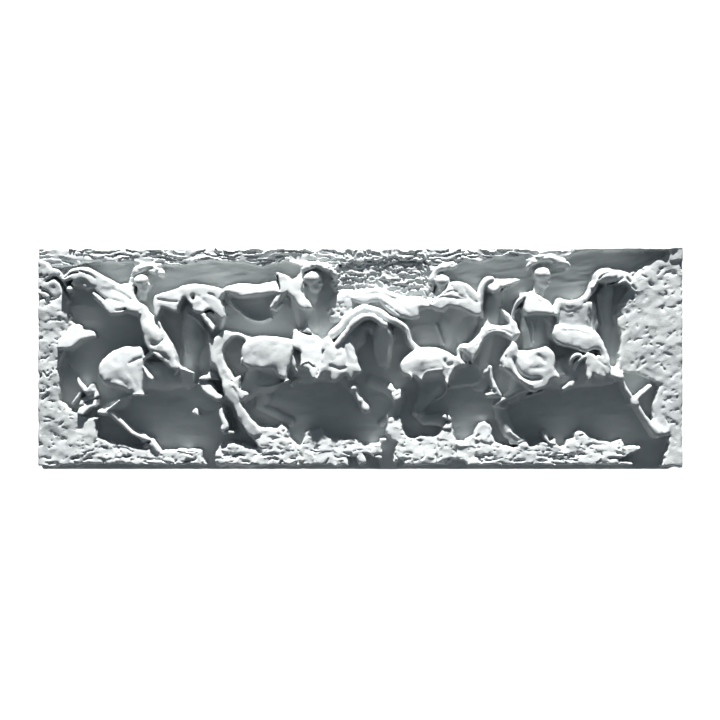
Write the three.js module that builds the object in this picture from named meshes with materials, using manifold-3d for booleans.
// Relief plaque: a cast plaster slab with a procession of galloping horsemen in high relief.
//
// The frame: x runs along the plaque, z up it, and the front looks towards -y.
// The flat back lies in the plane y = 0 and the origin is its centre.
// A depth is a distance forward from the back, so it's -y.

import * as THREE from 'three';
import { mergeVertices } from 'three/addons/utils/BufferGeometryUtils.js';
import Module from 'manifold-3d';

// Driving dimensions, in millimetres.
const WIDTH = 600;
const HEIGHT = 207;
const SLAB = 8;              // thickness of the slab behind the figures
const ROOT = 4;              // depth at which every figure starts, inside the slab
const BORDER = 19;           // depth of the rough border round the field
const CORNER = 3;            // corner radius of the slab
const CLIPPED = [12, 5.5];   // the worn lower right corner, across and up
const RIM = 2.5;             // height of the bare strip of slab under the ground
const FLAKE = 2.4;           // how far a flake of rock stands out of the border
const FLAKE_TURN = 0.06;     // the most that a flake is turned out of the level, in radians
const ROUND = 3;             // edge rounding of a figure that is cut as a shape
const PATCH = 12;            // depth of the rough patch over the second horse's neck
const BANK = 16;             // depth of the smoother bank below that patch

// A crag's widths are shares of the width that it is given.
const CRAG_TIP = 0.16;       // radius at its peak
const CRAG_FOOT = 0.62;      // radius at its foot
const CRAG_FLAT = 0.7;       // how flat it is, front to back
const CRAG_SET = 0.36;       // how far it is set back into the border

// How finely a curve is cut into flats.
const CORNER_STEPS = 3;      // steps round a corner of the slab
const SIDES = 9;             // sides of a muscle
const DOME = 3;              // steps from a muscle's edge to its crown
const BLUNT = 0.7;           // how far a limb's end reaches past its last station, in radii

// The slab's edges, and the level where the ground starts.
const right = WIDTH / 2;
const top = HEIGHT / 2;
const ground = -HEIGHT / 2 + RIM;

const PLASTER = new THREE.MeshStandardMaterial({ color: 0xeef2f1, roughness: 0.85, metalness: 0 });

const wasm = await Module();
wasm.setup();

// ---------------------------------------------------------------- making solids

// A closed geometry as a solid that can be joined and cut.
function solid(geometry) {
  const bare = geometry.clone();
  bare.deleteAttribute('normal');
  bare.deleteAttribute('uv');
  const merged = mergeVertices(bare, 1e-4);
  const vertProperties = new Float32Array(merged.attributes.position.array);
  const triVerts = new Uint32Array(merged.index.array);
  return new wasm.Manifold(new wasm.Mesh({ numProp: 3, vertProperties, triVerts }));
}

function vector(x, z, depth) {
  return new THREE.Vector3(x, -depth, z);
}

// Everything on the slab comes out of a one-piece mould: each form is round in front and
// has straight walls from its widest place back into the slab.

// A muscle, a head or a rounded lump: half an ellipsoid, tilted in the plane of the plaque.
function mass(x, z, depth, across, up, forward, tilt = 0) {
  // Turned once round at unit size: foot at 0, widest place at 1, crown at 2.
  const profile = [new THREE.Vector2(0, 0), new THREE.Vector2(1, 0)];
  for (let i = 0; i < DOME; i += 1) {
    const angle = (Math.PI / 2) * (i / DOME);
    profile.push(new THREE.Vector2(Math.cos(angle), 1 + Math.sin(angle)));
  }
  profile.push(new THREE.Vector2(0, 2));
  const dome = new THREE.LatheGeometry(profile, SIDES);
  // The foot goes down to the slab, and the dome to its own depth and height.
  const place = dome.attributes.position;
  for (let i = 0; i < place.count; i += 1) {
    const level = place.getY(i);
    const isFoot = level < 0.5;
    place.setY(i, isFoot ? ROOT : depth + forward * (level - 1));
  }
  dome.scale(across, 1, up);
  dome.rotateX(Math.PI);
  dome.rotateY(-THREE.MathUtils.degToRad(tilt));
  dome.translate(x, 0, z);
  return solid(dome);
}

// Half a limb's cross-section: across in radii, then forward in radii, or null for its root.
const SECTION = [[-1, null], [-1, 0], [-0.6, 0.8], [0.6, 0.8], [1, 0], [1, null]];
// The faces of a limb's end. Numbers up to 5 are corners of the section, and 6 and 7 are the
// front and the back of its wedge.
const WEDGE = [[0, 6, 1], [0, 7, 6], [1, 6, 2], [2, 6, 3], [3, 6, 4], [4, 6, 7], [4, 7, 5], [5, 7, 0]];

// A leg, an arm, a fold or a tail through stations of [x, z, depth, radius], with wedge ends.
function limb(...stations) {
  const sides = SECTION.length;
  const last = stations.length - 1;
  const points = [];
  const place = (x, z, depth) => points.push(vector(x, z, depth));
  stations.forEach(([x, z, depth, radius], station) => {
    const before = stations[Math.max(0, station - 1)];
    const after = stations[Math.min(last, station + 1)];
    const run = Math.hypot(after[0] - before[0], after[1] - before[1]);
    const along = [(after[0] - before[0]) / run, (after[1] - before[1]) / run];
    for (const [side, front] of SECTION) {
      const level = front === null ? ROOT : Math.max(ROOT + 0.5, depth + front * radius);
      place(x - along[1] * side * radius, z + along[0] * side * radius, level);
    }
    if (station === 0 || station === last) {
      const way = station === 0 ? -BLUNT : BLUNT;
      const tip = [x + along[0] * way * radius, z + along[1] * way * radius];
      place(...tip, depth + 0.3 * radius);
      place(...tip, ROOT);
    }
  });
  // Where a station's ring starts: the first station's two tips lie before all later rings.
  const ring = (station) => station * sides + (station > 0 ? 2 : 0);
  const faces = [];
  for (let station = 0; station < last; station += 1) {
    for (let i = 0; i < sides; i += 1) {
      const next = (i + 1) % sides;
      const [here, there] = [ring(station), ring(station + 1)];
      faces.push([here + i, there + next, here + next], [here + i, there + i, there + next]);
    }
  }
  // A wedge closes each end. Its two tips follow its ring.
  for (const [i, j, k] of WEDGE) {
    const [start, end] = [ring(0), ring(last)];
    faces.push([start + i, start + k, start + j], [end + i, end + j, end + k]);
  }
  const geometry = new THREE.BufferGeometry().setFromPoints(points);
  geometry.setIndex(faces.flat());
  return solid(geometry);
}

// The stations of a smooth curve, for a tail, a mane or a lip.
function flow(steps, ...stations) {
  const path = new THREE.CatmullRomCurve3(stations.map(([x, z, depth]) => vector(x, z, depth)));
  const radii = stations.map(([, , , radius], i) => new THREE.Vector2(i, radius));
  const sizes = new THREE.SplineCurve(radii);
  const result = [];
  for (let i = 0; i <= steps; i += 1) {
    const point = path.getPoint(i / steps);
    result.push([point.x, point.z, -point.y, sizes.getPoint(i / steps).y]);
  }
  return limb(...result);
}

// A shape standing up from the slab, with a bevelled edge. Its front leans by lean
// millimetres for each millimetre up it.
function shape(front, corners, { lean = 0, round = ROUND, back = ROOT } = {}) {
  const outline = new THREE.Shape(corners.map(([x, z]) => new THREE.Vector2(x, z)));
  const bevel = { bevelEnabled: true, bevelSegments: 1, bevelSize: round, bevelThickness: round };
  const block = new THREE.ExtrudeGeometry(outline, {
    depth: front - back - round,
    bevelOffset: -round,
    ...bevel,
  });
  block.rotateX(Math.PI / 2);
  block.translate(0, -back, 0);
  const middle = corners.reduce((sum, [, z]) => sum + z, 0) / corners.length;
  const place = block.attributes.position;
  for (let i = 0; i < place.count; i += 1) {
    const forward = -place.getY(i) > back + round;
    if (forward) {
      place.setY(i, place.getY(i) - lean * (place.getZ(i) - middle));
    }
  }
  return solid(block);
}

// All of a list of solids and lists of solids, as one.
function joined(...parts) {
  return parts.flat(Infinity).reduce((whole, part) => whole.add(part));
}

// ---------------------------------------------------------------- slab and border

function slab() {
  const [left, bottom] = [-right, -top];
  const outline = new THREE.Shape();
  outline.moveTo(left + CORNER, bottom);
  outline.lineTo(right - CLIPPED[0], bottom);
  outline.lineTo(right, bottom + CLIPPED[1]);
  outline.lineTo(right, top - CORNER);
  outline.absarc(right - CORNER, top - CORNER, CORNER, 0, Math.PI / 2);
  outline.absarc(left + CORNER, top - CORNER, CORNER, Math.PI / 2, Math.PI);
  outline.absarc(left + CORNER, bottom + CORNER, CORNER, Math.PI, 1.5 * Math.PI);
  const block = new THREE.ExtrudeGeometry(outline, {
    depth: SLAB,
    bevelEnabled: false,
    curveSegments: CORNER_STEPS,
  });
  block.rotateX(Math.PI / 2);
  return solid(block);
}

// A pointed rock on the ground or the border: a five-sided cone, broad at its foot.
function crag(x, foot, peak, width) {
  const rise = peak - foot;
  const rock = new THREE.CylinderGeometry(width * CRAG_TIP, width * CRAG_FOOT, rise, 5);
  rock.rotateX(Math.PI / 2);
  rock.scale(1, CRAG_FLAT, 1);
  rock.translate(x, -BORDER + width * CRAG_SET, foot + rise / 2);
  return solid(rock);
}

// A flake of rock lying along the border: a long splinter with four sharp edges.
function flake(x, z, length, thick) {
  const splinter = new THREE.OctahedronGeometry(1);
  splinter.scale(length / 2, FLAKE, thick);
  splinter.rotateY(FLAKE_TURN * Math.sin(x));
  splinter.translate(x, -BORDER, z);
  return solid(splinter);
}

// The brow of a niche: rock that arches over a rider's head and joins the top border.
function brow(x, z, half) {
  const corners = [[x - half, z - 9], [x - half * 0.7, z - 1], [x, z + 3], [x + half * 0.7, z + 1],
    [x + half * 1.2, z - 5], [x + half * 1.5, top - 5], [x - half * 1.3, top - 5]];
  return shape(BORDER, corners, { round: 1 });
}

const border = [
  // Along the top, thinning to a lip over the last horse's head.
  shape(BORDER - 1, [[-right, top], [-right, 86], [-268, 86], [-250, 91], [-212, 90], [-165, 88],
    [-140, 92], [-90, 87], [-60, 91], [5, 91], [62, 90], [110, 89], [150, 98], [170, 93],
    [192, 94], [215, 101], [285, 101], [right, top]], { round: 1.5 }),
  // The left side and the bank behind the first horse.
  shape(BORDER + 1, [[-right, 92], [-283, 84], [-276, 75], [-272, 55], [-269, 36], [-260, 30], [-262, 18],
    [-277, 8], [-281, -12], [-280, -38], [-270, -48], [-247, -54], [-246, -72], [-222, -80], [-200, -84],
    [-148, -85], [-145, ground], [-right, ground]], { round: 2 }),
  // The ground under the first and second horses, then under the third and fourth.
  shape(BORDER + 1, [[-134, ground], [-134, -86], [-128, -79], [-108, -79], [-96, -84], [-56, -80],
    [-33, -73], [-8, -74], [17, -80], [20, -92], [8, -89], [-4, -89], [-12, ground], [-80, ground],
    [-90, -94],
    [-102, ground]], { round: 1.5 }),
  shape(BORDER + 1, [[30, -96], [33, -80], [50, -76], [100, -77], [130, -80], [165, -79], [187, -82],
    [215, -75], [244, -78], [258, -83], [240, -93], [248, ground], [100, ground], [92, -94],
    [80, ground], [42, ground]], { round: 1.5 }),
  // The right side, a broad rough bank down from the last horse's head.
  shape(BORDER - 1, [[right, 100], [285, 97], [252, 80], [260, 68], [242, 52], [243, 20], [238, -8],
    [258, -14], [279, -24], [275, -36], [271, -60], [288, -72], [281, ground], [right, -98]], { round: 2 }),
  // The rough patch left over the second horse's neck, and the smoother bank below it.
  shape(PATCH, [[-28, 74], [-10, 88], [30, 88], [66, 84], [66, 60], [40, 54], [0, 60], [-20, 62]]),
  shape(BANK, [[-30, 50], [-20, 62], [22, 62], [40, 54], [30, 40], [10, 36], [-28, 36]], { round: 4 }),
  // The brows of the niches over the riders' heads.
  brow(-203, 83, 11),
  brow(-42, 83, 12),
  brow(79, 82, 11),
  brow(171, 87, 14),
];

// Each crag's place along the plaque, the height of its foot and of its peak, and its width.
const crags = [
  [-92, -84, -62, 30], [-73, -84, -60, 14], [-41, -80, -63, 18], [-3, -80, -72, 9], [33, -80, -53, 13],
  [40, -82, -64, 14], [79, -80, -64, 20], [112, -82, -58, 19], [119, -84, -61, 12], [179, -84, -74, 12],
  [204, -84, -66, 19], [243, -84, -74, 10], [-252, -90, -53, 20],
].map(([x, foot, peak, width]) => crag(x, foot, peak, width));

// Flakes in two rows along the top border and two along the ground. The second row of each
// pair starts part of a step along, and no flake spans a gap in the ground.
const topRows = { levels: [95, 99], from: -278, to: 140, step: 43, shift: 21 };
const groundRows = { levels: [-90, -96], from: -280, to: 235, step: 36, shift: 17 };
const gaps = [[-166, -118], [-24, 48], [72, 112]];
const flakes = [];
topRows.levels.forEach((z, row) => {
  for (let x = topRows.from + row * topRows.shift; x < topRows.to; x += topRows.step) {
    flakes.push(flake(x, z + 1.5 * Math.sin(x), 40 + 8 * Math.cos(x), 2.2));
  }
});
groundRows.levels.forEach((z, row) => {
  for (let x = groundRows.from + row * groundRows.shift; x < groundRows.to; x += groundRows.step) {
    const overGap = gaps.some(([start, end]) => x > start && x < end);
    if (!overGap) {
      flakes.push(flake(x, z + 1.5 * Math.cos(x), 30 + 6 * Math.sin(x), 3));
    }
  }
});

// ---------------------------------------------------------------- the first horseman

// The hind quarters of a horse that the border cuts off, with the rocks at its feet.
const followingHorse = [
  limb([-276, 14, 14, 7], [-264, 22, 18, 10], [-254, 22, 19, 8]),
  mass(-262, -6, 8, 15, 28, 5),
  limb([-263, -18, 12, 4], [-255, -29, 22, 3], [-251, -28, 23, 4]),
  limb([-268, -40, 20, 3], [-260, -32, 20, 3]),
  limb([-258, -40, 17, 5], [-248, -34, 17, 5]),
];

// A rider's head, its parts in shares of the skull's radius. The cap of hair stands forward
// of the face, which looks slightly down, and the neck runs down and back from it.
function head(x, z, size) {
  return [
    mass(x, z, 18, size, size * 0.95, size * 1.1),
    mass(x - 0.5, z - size * 0.8, 14, size * 0.85, size * 1.1, size * 0.8),
    limb([x - 1, z - size * 1.3, 12, size * 0.6], [x - 3, z - size * 2.4, 12, size * 0.75]),
  ];
}

const firstRider = [
  head(-203, 73, 7.8),
  // The outstretched arm under its cloak.
  shape(28, [[-270, 74], [-266, 82], [-257, 84], [-248, 79], [-240, 72], [-228, 68], [-214, 66], [-204, 56],
    [-203, 45], [-215, 42], [-232, 41], [-243, 50], [-250, 63], [-260, 67]], { lean: -0.2, round: 4 }),
  limb([-212, 56, 20, 9], [-203, 42, 23, 9], [-195, 26, 25, 10], [-190, 12, 27, 10]),
  limb([-190, 12, 27, 11], [-180, 8, 30, 9], [-171, -4, 31, 6]),
  limb([-170, -5, 28, 5.5], [-173, -20, 22, 4.5], [-176, -30, 16, 4]),
];

const firstHorse = [
  // Croup, flank, barrel and chest.
  mass(-221, -6, 20, 22, 18, 15),
  mass(-212, -20, 17, 13, 13, 13),
  limb([-214, -14, 14, 12], [-180, -14, 10, 14], [-160, -12, 6, 13]),
  // Neck, with the mane blown back, and the head.
  limb([-160, -8, 6, 13], [-157, 20, 12, 13], [-154, 42, 20, 9]),
  limb([-190, 48, 14, 6], [-176, 53, 19, 8], [-162, 60, 25, 5]),
  limb([-158, 55, 27, 7.5], [-142, 50, 29, 10], [-133, 38, 27, 6.5], [-131, 28, 24, 4.5]),
  mass(-150, 53, 27, 12, 9, 9, -20),
  // Hind leg: thigh and hock, then the long shank to the hoof.
  limb([-224, -24, 10, 14], [-224, -38, 12, 8], [-238, -47, 17, 4]),
  limb([-240, -49, 22, 3.6], [-206, -70, 19, 3.6], [-192, -79, 17, 4], [-186, -85, 17, 5]),
  // The raised foreleg, the folded one behind it, and the far leg.
  limb([-150, -20, 20, 5], [-145, -25, 26, 3.8], [-130, -35, 26, 3.8]),
  limb([-129, -37, 24, 3.5], [-129, -50, 22, 3], [-125, -62, 22, 3.2], [-120, -68, 20, 3]),
  limb([-162, -24, 12, 7], [-146, -17, 24, 4], [-136, -15, 24, 5]),
  limb([-160, -26, 8, 7], [-154, -50, 14, 2.5]),
];

// ---------------------------------------------------------------- the second horseman

const secondRider = [
  head(-43, 76, 8.8),
  // The cloak flies back: a thick upper fold and a thin lower hem round a hollow.
  shape(22, [[-130, 60], [-122, 67], [-105, 69], [-85, 70], [-72, 66], [-78, 60], [-92, 59],
    [-108, 57], [-119, 57.5]], { round: 2 }),
  flow(5, [-125, 60, 14, 2.5], [-119, 47, 13, 2], [-105, 38, 13, 2], [-92, 36, 14, 2.4], [-82, 39, 14, 3]),
  // Body, the two arms crossing it, and the tunic over the thigh.
  limb([-56, 66, 16, 10], [-50, 48, 13, 10], [-48, 30, 13, 10], [-44, 15, 22, 12]),
  limb([-76, 78, 20, 2], [-68, 70, 24, 6], [-60, 60, 27, 6], [-49, 49, 30, 5]),
  limb([-70, 62, 24, 3.5], [-78, 52, 24, 3], [-80, 48, 23, 3]),
  shape(30, [[-62, 27], [-56, 25], [-47, 24], [-34, 18], [-36, 4], [-46, -2], [-58, 4], [-61, 14]]),
  limb([-58, 10, 26, 8], [-62, 0, 27, 6], [-60, -10, 27, 4], [-61, -20, 27, 3]),
];

const secondTail = [
  flow(8, [-82, 20, 14, 4], [-100, 17, 20, 6], [-116, 23, 22, 3.5], [-128, 20, 24, 5], [-133, 6, 25, 6],
    [-130, -6, 25, 7], [-122, -18, 24, 7], [-114, -28, 23, 7]),
  limb([-118, -28, 22, 5], [-112, -31, 22, 5], [-104, -34, 19, 2]),
];

const secondHorse = [
  mass(-88, 3, 20, 23, 14, 14),
  mass(-92, -20, 10, 16, 14, 10),
  limb([-84, 6, 16, 14], [-50, -2, 12, 14], [-22, -4, 18, 15]),
  mass(-20, 2, 22, 19, 18, 13),
  // The neck arches, its crest a rolled band, and the head is tucked in below it.
  limb([-14, 12, 18, 13], [-4, 24, 16, 11], [8, 30, 15, 8]),
  flow(6, [-20, 16, 27, 3], [-9, 28, 28, 3.2], [1, 37, 28, 3.2], [10, 39, 28, 3], [19, 35, 28, 3],
    [24, 31, 28, 2.2]),
  limb([19, 29, 14, 6], [22, 14, 13, 6.5], [23, 2, 12, 5], [24, -4, 12, 4]),
  // Near hind leg, then the far one along the ground.
  limb([-96, -18, 12, 12], [-109, -32, 14, 9], [-112, -50, 14, 9], [-100, -70, 14, 7], [-92, -78, 13, 6]),
  limb([-122, -30, 24, 4], [-112, -42, 24, 4], [-104, -56, 22, 4], [-99, -66, 20, 4]),
  limb([-90, -34, 8, 8], [-98, -45, 12, 4], [-80, -51, 12, 4], [-66, -57, 13, 4], [-58, -78, 13, 4]),
  // Forelegs.
  limb([-16, -14, 22, 9], [-8, -27, 29, 4.2], [-2, -37, 27, 2.6], [4, -46, 25, 3.8]),
  limb([10, -20, 8, 8], [28, -26, 18, 4], [33, -33, 20, 4.5], [36, -38, 16, 5], [30, -55, 14, 5]),
];

// ---------------------------------------------------------------- the third horseman

// Its tail streams over the second horse's crest.
const thirdTail = flow(9, [56, 6, 20, 4], [46, 14, 22, 4], [42, 24, 23, 3.5], [36, 31, 23, 3.5],
  [26, 36, 23, 3.5], [18, 43, 22, 3.5], [6, 46, 20, 3.5], [-8, 42, 20, 3.5], [-18, 30, 20, 3],
  [-28, 15, 20, 3]);

const thirdRider = [
  head(78, 72, 7),
  shape(26, [[20, 60], [30, 55], [50, 55], [66, 54], [74, 49], [57, 44], [55, 39], [48, 37],
    [41, 37], [30, 42], [22, 48]], { round: 2 }),
  shape(29, [[64, 52], [76, 56], [82, 68], [92, 70], [104, 66], [111, 56], [112, 42], [104, 42], [90, 47],
    [82, 49], [70, 46]], { lean: -0.2, round: 2.5 }),
  limb([92, 50, 14, 12], [82, 34, 10, 14], [78, 16, 8, 14]),
  limb([100, 40, 12, 12], [96, 20, 10, 12]),
  limb([90, 8, 20, 7], [98, 4, 22, 6], [96, -5, 23, 4], [88, -8, 22, 2.5]),
];

const thirdHorse = [
  mass(64, -4, 20, 26, 14, 15),
  mass(68, -22, 10, 14, 14, 10),
  limb([66, -4, 14, 13], [96, -14, 10, 13], [112, -10, 8, 12]),
  limb([112, -4, 8, 11], [120, 28, 9, 9], [122, 56, 12, 6]),
  flow(5, [111, 42, 17, 2.2], [112, 54, 20, 2.2], [113, 64, 20, 2.2], [117, 72, 20, 2.6], [121, 74, 20, 2.6]),
  limb([121, 71, 21, 5.5], [131, 69, 22, 4.5], [146, 72.5, 22, 1.6]),
  mass(128, 62, 13, 6, 5, 6),
  limb([119, -9, 25, 2.5], [122, -20, 25, 2.4], [127, -30, 24, 3], [130, -37, 23, 2.6]),
  limb([112, -14, 14, 8], [119, -33, 22, 3], [125, -31, 22, 3]),
  limb([62, -34, 10, 10], [54, -46, 13, 5], [60, -53, 13, 5], [76, -55, 17, 4.5]),
  limb([80, -54, 22, 4.2], [81, -66, 20, 4.5]),
];

// ---------------------------------------------------------------- the fourth horseman

const fourthTail = flow(7, [142, 14, 20, 4], [132, 25, 22, 5], [122, 28, 22, 4.5], [112, 20, 22, 4.5],
  [104, 8, 21, 5], [95, 4, 20, 4.5], [88, -6, 20, 3]);

const fourthRider = [
  head(170, 77, 8),
  shape(33, [[148, 56], [158, 62], [168, 56], [175, 52], [180, 44], [181, 38], [170, 40],
    [154, 41], [150, 46]], { lean: -0.25 }),
  limb([160, 50, 15, 10], [160, 30, 12, 12], [162, 10, 10, 13]),
  limb([174, 36, 16, 9], [178, 24, 16, 6]),
  // The reaching arm and the edge of the mane it holds.
  flow(5, [181, 42, 20, 3], [185, 53, 22, 3], [193, 51, 23, 3.5], [203, 53, 23, 3.5], [210, 59, 22, 3],
    [215, 67, 22, 3]),
  // Thigh, then the shin and the foot.
  shape(31, [[178, 25], [186, 28], [206, 29], [218, 26], [224, 14], [229, 0], [224, -5], [212, 3], [198, 9],
    [184, 15]]),
  limb([186, -1, 26, 4.5], [190, -12, 24, 4.5]),
  limb([199, 2, 26, 4], [202, -10, 22, 3.5], [198, -20, 25, 3.5], [190, -27, 25, 3]),
];

const fourthHorse = [
  mass(153, -8, 21, 23, 17, 15, -25),
  limb([156, -6, 16, 13], [190, -6, 12, 14], [212, -6, 16, 13]),
  mass(216, -4, 22, 13, 15, 12),
  limb([214, 4, 10, 14], [226, 32, 10, 11], [226, 60, 18, 8]),
  shape(20, [[184, 30], [185, 50], [205, 52], [216, 58], [218, 26]], { lean: 0.35, round: 2 }),
  flow(4, [216, 62, 22, 2], [219, 74, 23, 2.5], [226, 81, 24, 2.5]),
  limb([224, 77, 27, 6], [240, 77, 30, 5.5], [250, 74, 28, 5], [258, 66, 20, 4]),
  mass(233, 68, 16, 9, 9, 7),
  // The raised foreleg, bent at the knee, and the one that reaches the bank.
  limb([216, -10, 20, 8], [240, -16, 26, 4.2], [243, -24, 26, 2.6], [252, -38, 24, 4.2], [258, -48, 22, 2.8],
    [270, -62, 22, 3.5], [280, -66, 18, 6]),
  limb([253, -38, 22, 3.6], [260, -32, 22, 2.4], [269, -26, 20, 2.2]),
  limb([210, -10, 24, 4], [210, -17, 24, 2.5]),
  // Hind leg, with the cord of the hock.
  limb([150, -24, 12, 12], [146, -34, 14, 7], [128, -42, 19, 5], [134, -58, 15, 7],
    [140, -70, 16, 6], [152, -77, 19, 5]),
  limb([126, -42, 23, 2.5], [140, -34, 25, 2.5], [154, -29, 25, 2]),
];

// ---------------------------------------------------------------- the casting

// Everything is trimmed flat at the back.
const room = new THREE.BoxGeometry(2 * WIDTH, WIDTH, 2 * HEIGHT);
room.translate(0, -WIDTH / 2, 0);

const casting = joined(
  slab(), border, crags, flakes,
  followingHorse, firstRider, firstHorse,
  secondTail, secondRider, secondHorse,
  thirdTail, thirdRider, thirdHorse,
  fourthTail, fourthRider, fourthHorse,
).intersect(solid(room));

// A solid's triangles as a geometry.
function geometryOf(whole) {
  const { numProp, vertProperties, triVerts } = whole.getMesh();
  const geometry = new THREE.BufferGeometry();
  const places = new Float32Array((vertProperties.length / numProp) * 3);
  for (let i = 0; i < places.length / 3; i += 1) {
    const start = i * numProp;
    places.set(vertProperties.subarray(start, start + 3), i * 3);
  }
  geometry.setAttribute('position', new THREE.BufferAttribute(places, 3));
  geometry.setIndex(new THREE.BufferAttribute(triVerts, 1));
  geometry.computeVertexNormals();
  return geometry;
}

const relief = new THREE.Mesh(geometryOf(casting), PLASTER);
relief.name = 'relief_plaque';

const plaque = new THREE.Group();
plaque.add(relief);

export default plaque;
